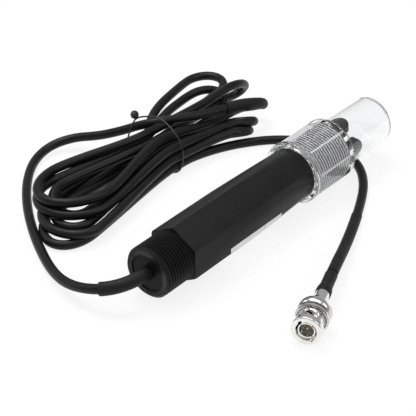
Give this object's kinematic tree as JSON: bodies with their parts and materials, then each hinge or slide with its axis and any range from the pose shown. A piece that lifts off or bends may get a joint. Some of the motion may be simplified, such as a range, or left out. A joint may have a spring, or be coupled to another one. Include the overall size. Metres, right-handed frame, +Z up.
{
  "type": "ph electrode",
  "caption": "In-line pH electrode with a threaded black housing, a clear screw cap over the glass tip, and a tied hank of lead ending in a bayonet plug.",
  "frame": {"origin": "on the floor under the middle of the electrode with its cap on", "axes": "+X along the electrode from its cable end to its cap, +Z up"},
  "size_m": [0.2089, 0.2197, 0.0356],
  "materials": {
    "black_moulding": "moulded black plastic with a fine satin skin",
    "glass": "clear blown glass",
    "label_white": "bare white film",
    "silver_wire": "drawn silver wire",
    "lead_insulation": "white fluoropolymer",
    "black_rubber": "moulded black rubber",
    "porous_white": "sintered porous plastic",
    "potting": "cast black resin",
    "clear_cap": "clear moulded plastic",
    "shrink_tube": "black shrink tube",
    "nickel": "bright nickel plate",
    "gold": "gold plate",
    "steel": "spring steel",
    "cable_jacket": "smooth black vinyl jacket",
    "tie": "black plastic over wire"
  },
  "bodies": {
    "root": {"housing": "black_moulding", "glass_electrode": "glass", "label": "label_white", "stem_bush": "black_moulding", "measuring_wire": "silver_wire", "reference_wire": "silver_wire", "signal_lead": "lead_insulation", "shield_lead": "silver_wire", "glass_seal": "black_rubber", "reference_junction": "porous_white", "rear_potting": "potting", "plug_boot": "shrink_tube", "crimp_ferrule": "nickel", "plug_body": "nickel", "outer_contact": "nickel", "plug_insulator": "lead_insulation", "centre_pin": "gold", "plug_gasket": "black_rubber", "spring_washer": "steel", "cable_lead": "cable_jacket", "cable_tail": "cable_jacket", "strain_relief": "shrink_tube", "marker_sleeve": "shrink_tube", "cable_hank": "cable_jacket", "hank_tie": "tie"},
    "seal": {"cap_seal": "black_rubber"},
    "cap": {"protective_cap": "clear_cap"},
    "nut_washer": {"thrust_washer": "steel"},
    "nut": {"coupling_nut": "nickel"}
  },
  "joints": [
    {"name": "cap_travel", "type": "slide", "parent": "root", "child": "seal", "axis": [0.9997, 0, 0.0239], "range_m": [0, 0.0127]},
    {"name": "cap_turn", "type": "hinge", "parent": "seal", "child": "cap", "pos_m": [0.03576, 0, 0.01829], "axis": [0.9997, 0, 0.0239], "range_deg": [0, 2520]},
    {"name": "nut_float", "type": "slide", "parent": "root", "child": "nut_washer", "axis": [-0.9304, -0.3665, 0], "range_m": [0, 0.0004], "stiffness_N_per_m": 4000},
    {"name": "nut_turn", "type": "hinge", "parent": "nut_washer", "child": "nut", "pos_m": [-0.06073, -0.07279, 0.0081], "axis": [-0.9304, -0.3665, 0], "continuous": true}
  ],
  "couplings": [
    {"joint": "cap_travel", "follows": "cap_turn", "m_per_rad": 0.00028875}
  ]
}
